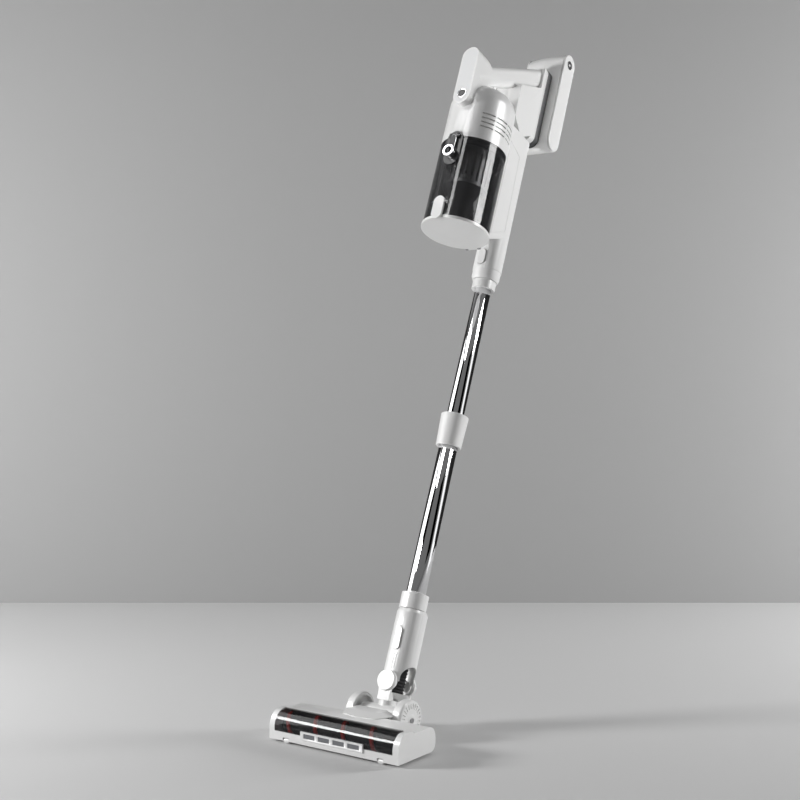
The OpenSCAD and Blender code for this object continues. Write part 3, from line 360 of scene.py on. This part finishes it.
WHEEL_R, WHEEL_WIDE, BORE_R, HUB_R, RIM_R = 30, 17.0, 4.06, 8.5, 26.5
DOME_HIGH, DOME_DROP = 16.4, 0.6
FRONT_ROUND, BACK_ROUND = 4.5, 2.0
HOLLOW_IN, HOLLOW_OUT, HOLLOW_DEEP = 9, 25, 8.0
SLOTS, SLOT_DEEP, SLOT_IN, SLOT_OUT = 24, 1.4, 16.8, 25.0
WHEEL_FOOT_AT = 37
MERGE_GRID = 1e-6
CREASE_PAST = math.radians(35)


def grid_mesh(name, points, around=(True, True)):
    """A mesh with a vertex at each points[i, j]: quads join each to its neighbours in i and in j, and
    the grid closes on itself in the directions that around names."""
    rows, columns = points.shape[:2]
    i = np.arange(rows if around[0] else rows - 1)[:, None]
    j = np.arange(columns if around[1] else columns - 1)[None, :]
    next_i, next_j = (i + 1) % rows, (j + 1) % columns
    quads = np.stack([i * columns + j, i * columns + next_j,
                      next_i * columns + next_j, next_i * columns + j], -1).reshape(-1, 4)
    mesh = bpy.data.meshes.new(name)
    mesh.from_pydata(points.reshape(-1, 3).tolist(), [], quads.tolist())
    work = bmesh.new()
    work.from_mesh(mesh)
    bmesh.ops.remove_doubles(work, verts=work.verts, dist=MERGE_GRID)
    bmesh.ops.recalc_face_normals(work, faces=work.faces)
    work.to_mesh(mesh)
    work.free()
    mesh.shade_smooth()
    mesh.set_sharp_from_angle(angle=CREASE_PAST)
    return mesh


def turned(name, radii, heights, foot, axis, steps=128):
    """A surface of revolution: the point at angle t of profile step k is foot + heights[k] * axis
    + radii[k] * (cos t * side + sin t * front). Both lists may have one column for each angle."""
    axis = Vector(axis).normalized()
    side = axis.orthogonal().normalized()
    front = axis.cross(side)
    t = np.linspace(0, 2 * math.pi, steps, endpoint=False)
    radii, heights = np.asarray(radii, float), np.asarray(heights, float)
    radii = np.broadcast_to(radii[:, None] if radii.ndim == 1 else radii, (len(radii), steps))
    heights = np.broadcast_to(heights[:, None] if heights.ndim == 1 else heights, radii.shape)
    ring = np.cos(t)[:, None] * np.array(side) + np.sin(t)[:, None] * np.array(front)
    points = np.array(foot) + heights[..., None] * np.array(axis) + radii[..., None] * ring[None]
    return grid_mesh(name, points)


def wheel_mesh(name, foot, axis):
    """A turned wheel: a hub, a slightly domed face, a rounded tread and a hollow back. The face sinks
    by SLOT_DEEP where the cosine of SLOTS * t is high and the radius is between SLOT_IN and SLOT_OUT,
    which makes the slots."""
    front, behind = np.linspace(0.1, 1.5, 8), np.linspace(0.1, 1.5, 6)
    face = np.linspace(HUB_R + 1, RIM_R, 52)
    radii = np.concatenate([[BORE_R, HUB_R], face,
                            WHEEL_R - FRONT_ROUND * (1 - np.sin(front)), [WHEEL_R, WHEEL_R],
                            WHEEL_R - BACK_ROUND * (1 - np.cos(behind)), [HOLLOW_OUT + 1, HOLLOW_OUT],
                            [HOLLOW_OUT, HOLLOW_IN], [HOLLOW_IN, BORE_R]])
    heights = np.concatenate([[WHEEL_WIDE, WHEEL_WIDE], DOME_HIGH - DOME_DROP * (face / RIM_R) ** 2,
                              DOME_HIGH - DOME_DROP - FRONT_ROUND * (1 - np.cos(front)), [9.5, 4.0],
                              BACK_ROUND * (1 - np.sin(behind)), [0.0, 0.0],
                              [HOLLOW_DEEP, HOLLOW_DEEP], [0.0, 0.0]])
    t = np.linspace(0, 2 * math.pi, 20 * SLOTS, endpoint=False)
    slot = np.clip((np.cos(SLOTS * t) - 0.45) / 0.2, 0, 1)
    ring = np.clip((radii - SLOT_IN) / 0.5, 0, 1) * np.clip((SLOT_OUT - radii) / 0.5, 0, 1)
    on_face = heights > DOME_HIGH - 4 * DOME_DROP
    sunk = heights[:, None] - SLOT_DEEP * (ring * on_face)[:, None] * slot[None]
    return turned(name, radii / 1000, sunk / 1000, foot, axis, len(t))


axle_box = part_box("wheel_axle")
axle_at = (axle_box[0] + axle_box[1]) / 2
for side, sign in (("right", 1), ("left", -1)):
    wheel = "rear_wheel_" + side
    foot = axle_at + Vector((sign * WHEEL_FOOT_AT / 1000, 0, 0))
    link_piece(wheel + "_turned", wheel_mesh(wheel, foot, (sign, 0, 0)), wheel, WHITE)
    moulded("front_wheel_" + side, WHITE, 0.0006)
moulded("wheel_axle", STEEL, 0.0005)

# ----------------------------------------------------------- Cradle and cowl
# The cradle at the back of the head holds the wheels' axle and the neck's barrel
# between two ears; the prow-shaped cowl over it is screwed down from inside.

moulded("neck_cradle", WHITE, 0.0012)
moulded("cradle_cowl", WHITE, 0.0015)

# --------------------------------------------------------------------- Neck
# A hollow white elbow turns on the axle. Its two lugs hold the swivel pins, whose broad
# cap heads show as discs, and the swivel housing leans from side to side on them.

moulded("lower_neck", WHITE, 0.001)
moulded("swivel_pins", WHITE, 0.0009, steps=4)
moulded("swivel_housing", WHITE, 0.0008)
moulded("head_release_button", WHITE, 0.0009)

# --------------------------------------------------------------------- Hose
# A black rubber bellows carries the air past the swivel inside the housing's arches.
# Its folds are round, and it's pushed into the housing at its top.

joints = {joint["name"]: joint for joint in frame["joints"]}
up = Vector(joints["telescope"]["axis"])
back = Vector(joints["neck_swivel"]["axis"])
SWIVEL_HIGH = 0.052
stick_foot = Vector(joints["neck_swivel"]["pos_m"]) - SWIVEL_HIGH * up

FOLDS, FOLD_R, FOLD_WAVE, HOSE_LONG = 10.5, 0.0122, 0.0009, 0.0525
HOSE_BORE, COLLAR_R, COLLAR_TOP = 0.0098, 0.0132, 0.0544
hose_foot = stick_foot + 0.003 * back + 0.0316 * up
along_hose = np.linspace(0, 1, 150)
folds = FOLD_R - FOLD_WAVE * np.cos(2 * math.pi * along_hose * FOLDS)
hose_r = np.concatenate([folds, [COLLAR_R, COLLAR_R, HOSE_BORE, HOSE_BORE]])
hose_h = np.concatenate([along_hose * HOSE_LONG, [HOSE_LONG + 0.0001, COLLAR_TOP, COLLAR_TOP, 0.0]])
RUBBER = finish("black_rubber", (0.014, 0.014, 0.015), 0.55, (700.0, 0.2))
link_piece("hose_bellows", turned("hose_bellows", hose_r, hose_h, hose_foot, up, 96),
           "flexible_hose", RUBBER)

# --------------------------------------------------------------------- Wand
# Two chrome-plated steel tubes, the thin one sliding in the thick one through a dark
# bush. White sleeves are crimped on their ends, and the flared collar frees the slide.

CHROME = finish("chrome", (0.82, 0.82, 0.83), 0.05, grain=(60.0, 0.0), shift=0.01, smudge=0.015,
                metallic=1.0)
TUBE_EASE = 0.15
TUBE_CREASE = math.radians(50)


def tube_piece(node, low, high, r_out, r_in):
    """A turned chrome pipe on the stick's axis, in millimetres, whose four edges are eased off."""
    ease = TUBE_EASE
    r = np.array([r_in, r_in + ease, r_out - ease, r_out, r_out, r_out - ease, r_in + ease, r_in])
    h = np.array([low + ease, low, low, low + ease, high - ease, high, high, high - ease])
    mesh = turned(node + "_turned", r / 1000, h / 1000, stick_foot, up, 192)
    mesh.set_sharp_from_angle(angle=TUBE_CREASE)
    link_piece(node + "_turned", mesh, node, CHROME)


tube_piece("lower_tube", low=130, high=476, r_out=15.7, r_in=14.7)
tube_piece("upper_tube", low=427, high=736, r_out=14.3, r_in=13.3)
moulded("lower_wand_sleeve", WHITE, 0.0007)
moulded("upper_wand_sleeve", WHITE, 0.0008)
moulded("telescope_bush", DARK, 0.0004)
moulded("telescope_collar", WHITE, 0.0012)

# ------------------------------------------------------------------- Column
# The column behind the cup is one white moulding that ends below in the inlet with its
# release button, and has a thin panel let into each flat side.

moulded("column_shell", WHITE, 0.0018)
moulded("side_panels", WHITE, 0.0004)
moulded("wand_release_button", WHITE, 0.0008)
moulded("control_board", finish("board_green", (0.02, 0.12, 0.05), 0.4), 0)

# ------------------------------------------------------------------- Handle
# Two white shells meet on the middle plane and make the front post, the sloping grip,
# the rear block and the battery seat. A grey plate faces the post round the button.

for side in ("right", "left"):
    moulded("handle_shell_" + side, WHITE, 0.0026, steps=5, seam=True)
GREY = finish("grey_plastic", (0.76, 0.765, 0.77), 0.45, (1100.0, 0.06))
moulded("post_face_plate", GREY, 0.0003)
moulded("power_button", DARK, 0.0010)

# The chrome ring round the button stands on the plane of the button's front face.
button = frame["nodes"]["power_button"].data
spots = np.empty(len(button.vertices) * 3)
button.vertices.foreach_get("co", spots)
spots = spots.reshape(-1, 3)
button_middle = (spots.min(0) + spots.max(0)) / 2
half_deep = float(((spots - button_middle) @ np.array(-back)).max())
ring_foot = Vector(button_middle) - half_deep * back
ring_r = [0.0070, 0.0070, 0.0073, 0.0079, 0.0082, 0.0082]
ring_h = [-0.0006, 0.0003, 0.0006, 0.0006, 0.0003, -0.0006]
link_piece("button_ring", turned("button_ring", ring_r, ring_h, ring_foot, -back, 96),
           "post_face_plate", CHROME, stands_for=False)
moulded("trigger", WHITE, 0.001)
moulded("trigger_pin", STEEL, 0.0002)

# -------------------------------------------------------------- Motor cover
# A white moulded dome with four rows of vents down each side, over the suction motor,
# its fan, and the ring-shaped filters before and after it.

moulded("motor_cover", WHITE, 0.0005)
moulded("suction_motor", MOTOR, 0.0005)
moulded("motor_fan", MOTOR, 0.0003)
FILTER = finish("filter", (0.72, 0.72, 0.69), 0.9, (1200.0, 0.5))
moulded("exhaust_filter", FILTER, 0.0004)
moulded("inlet_filter", FILTER, 0.0004)

# ----------------------------------------------------------------- Dust cup
# A moulded cup of smoked clear plastic with a toothed ring at its rim; the steel cyclone
# screen and the dark cone under it hang inside.

moulded("dust_cup", smoked("smoked_cup", (0.026, 0.026, 0.028), alpha=0.52, roughness=0.05), 0)

CUP_AHEAD = 0.114
TEETH, MOUTH_R, VALLEY_R, TOOTH_R = 72, 0.0536, 0.0535, 0.0520
TEETH_LOW, TEETH_HIGH = 0.9130, 0.9205
cup_foot = stick_foot - CUP_AHEAD * back
mouth_turn = np.linspace(0, 2 * math.pi, 10 * TEETH, endpoint=False)
inner = np.where(np.cos(TEETH * mouth_turn) > 0, VALLEY_R, TOOTH_R)
outer = np.full_like(inner, MOUTH_R)
teeth_h = [TEETH_LOW, TEETH_HIGH, TEETH_HIGH, TEETH_LOW]
teeth = turned("cup_teeth", [outer, outer, inner, inner], teeth_h, cup_foot, up, len(inner))
link_piece("cup_teeth", teeth, "dust_cup", finish("smoked_teeth", (0.09, 0.09, 0.095), 0.3),
           stands_for=False)

SCREEN = finish("screen_steel", (0.50, 0.50, 0.51), 0.4, (400.0, 0.1), metallic=1.0)
moulded("cyclone_screen", SCREEN, 0)
moulded("cyclone_cone", finish("cone_plastic", (0.22, 0.22, 0.225), 0.35), 0.0006)

# ----------------------------------------------------------- Lid and latches
# The white bottom lid hangs on a steel pin behind and is held by the latch in front;
# the chrome lever with its finger ring, in a dark recess, lets the whole cup go.

moulded("bottom_lid", WHITE, 0.0014, steps=4)
moulded("lid_latch", WHITE, 0.0014, steps=4)
moulded("cup_pins", STEEL, 0.0001)
moulded("cup_latch_plate", DARK, 0.0004)
moulded("cup_latch_lever", CHROME, 0.0008)

# ------------------------------------------------------------- Battery pack
# A white pack on a rubber gasket: a crowned body between two covers, each with a thin rim,
# a dark charging port near its top and a round release button at its foot. Sizes are in
# millimetres on the stick: x to the right, back from its axis and up from its foot.

BATTERY_BACK, BATTERY_LOW, BATTERY_HIGH, BATTERY_DEEP = 59.5, 1025, 1222, 39
BATTERY_CROWN, BODY_HALF, BODY_ROUND = 4.0, 36.9, 0.7
SEAT_LOW, SEAT_HIGH, SEAT_HALF, SEAT_CORNER = 1023, 1178, 20, 14
COVER_FACE, PORT_UP, KNOB_UP = 39.4, 1202.0, 1045.0

moulded("battery_gasket", RUBBER, 0.0004)


def stick_points(x, behind, tall):
    """The points, in metres, that lie x to the right, behind and tall millimetres on the stick."""
    offset = (x[..., None] * np.array([1, 0, 0]) + behind[..., None] * np.array(back)
              + tall[..., None] * np.array(up))
    return np.array(stick_foot) + offset / 1000


def stadium_loft(name, path, crown=0.0):
    """An upright stadium drawn in along x: step k of path is (inset, x), and the point at angle t of
    its outline lies BATTERY_DEEP / 2 - inset from the nearest of two centres. A crown lowers the top
    by crown * (x / 40) squared."""
    t = np.linspace(-math.pi / 2, 1.5 * math.pi, 96, endpoint=False)
    inset, x = np.asarray(path, float).T[:, :, None]
    radius = BATTERY_DEEP / 2 - inset
    top = np.sin(t) > 1e-9
    centre = np.where(top, BATTERY_HIGH - BATTERY_DEEP / 2, BATTERY_LOW + BATTERY_DEEP / 2)
    tall = centre + radius * np.sin(t) - np.where(top, crown, 0) * (x / 40) ** 2
    behind = BATTERY_BACK + radius * np.cos(t)
    return grid_mesh(name, stick_points(x + 0 * t, behind, tall), (False, True))


def seat_band(name, path):
    """A band round the battery's seat, an upright rectangle with round corners: the point at angle t
    of step k of path, which is (swell, depth), lies SEAT_CORNER + swell from the nearest of four
    corner centres, depth behind the stick's axis."""
    t = np.linspace(0, 2 * math.pi, 96, endpoint=False) + math.pi / 96
    swell, depth = np.asarray(path, float).T[:, :, None]
    radius = SEAT_CORNER + swell
    reach = (SEAT_HIGH - SEAT_LOW) / 2 - SEAT_CORNER
    x = np.sign(np.cos(t)) * (SEAT_HALF - SEAT_CORNER) + radius * np.cos(t)
    tall = (SEAT_LOW + SEAT_HIGH) / 2 + np.sign(np.sin(t)) * reach + radius * np.sin(t)
    return grid_mesh(name, stick_points(x, depth + 0 * t, tall))


# Painted shade: a dark grey band round the battery seat, laid over the recess between the rear block and the pack,
# where that recess lies in shade. It replaces no part.
SEAT_SHADE = finish("painted_seat_shade", (0.085, 0.088, 0.092), 0.5, (900.0, 0.15))
seat_shade_path = [(-0.3, 26.5), (0.3, 26.7), (0.6, 27.2), (0.6, 36.2), (0.3, 36.6), (-0.3, 36.6)]
link_piece("seat_shade_band", seat_band("seat_shade_band", seat_shade_path), "battery_gasket", SEAT_SHADE,
           stands_for=False)

PACK_R = BATTERY_DEEP / 2
body_end = [(PACK_R, BODY_HALF), (2.0, BODY_HALF), (0.5, BODY_HALF), (0.0, BODY_HALF - BODY_ROUND)]
body_path = [(inset, -x) for inset, x in body_end]
body_path += [(0.0, x) for x in np.linspace(-36, 36, 25)]
body_path += body_end[::-1]
link_piece("battery_body", stadium_loft("battery_body", body_path, BATTERY_CROWN),
           "battery_case", WHITE)

# Each cover's edge swells to the rim and falls back to its flat face.
cover_path = [(PACK_R, 37.1), (2.2, 37.1), (1.0, 37.2), (0.8, 37.5), (0.8, 38.6), (1.1, 39.3),
              (1.7, 39.8), (2.4, 40.0), (3.0, 39.8), (3.3, 39.4), (3.6, 39.3), (4.2, 39.4),
              (6.0, 39.5), (PACK_R, 39.5)]
port_r = np.array([0.0, 2.2, 2.6, 3.4, 4.6, 5.4, 5.8, 7.4, 8.0, 8.0, 0.0]) / 1000
port_h = np.array([0.0, 0.0, 0.35, 0.5, 0.5, 0.35, 0.1, 0.1, 0.3, -0.6, -0.6]) / 1000
knob_r = np.array([0.0, 10.4, 11.2, 11.5, 11.5, 0.0]) / 1000
knob_h = np.array([0.55, 0.45, 0.3, 0.0, -0.6, -0.6]) / 1000
for side, sign in (("right", 1), ("left", -1)):
    mirrored = [(inset, sign * x) for inset, x in cover_path]
    cover, port, knob = ("battery_cover_" + side, "charge_port_" + side, "release_knob_" + side)
    on_face = stick_foot + Vector((sign * COVER_FACE / 1000, 0, 0)) + BATTERY_BACK / 1000 * back
    port_foot, knob_foot = on_face + PORT_UP / 1000 * up, on_face + KNOB_UP / 1000 * up
    link_piece(cover, stadium_loft(cover, mirrored), "battery_side_plates", WHITE,
               stands_for=side == "right")
    link_piece(port, turned(port, port_r, port_h, port_foot, (sign, 0, 0), 64), "battery_side_plates",
               finish("port_" + side, (0.10, 0.10, 0.105), 0.3), stands_for=False)
    link_piece(knob, turned(knob, knob_r, knob_h, knob_foot, (sign, 0, 0), 64), "battery_side_plates",
               WHITE, stands_for=False)
moulded("battery_cells", finish("cell_blue", (0.05, 0.15, 0.4), 0.35), 0)
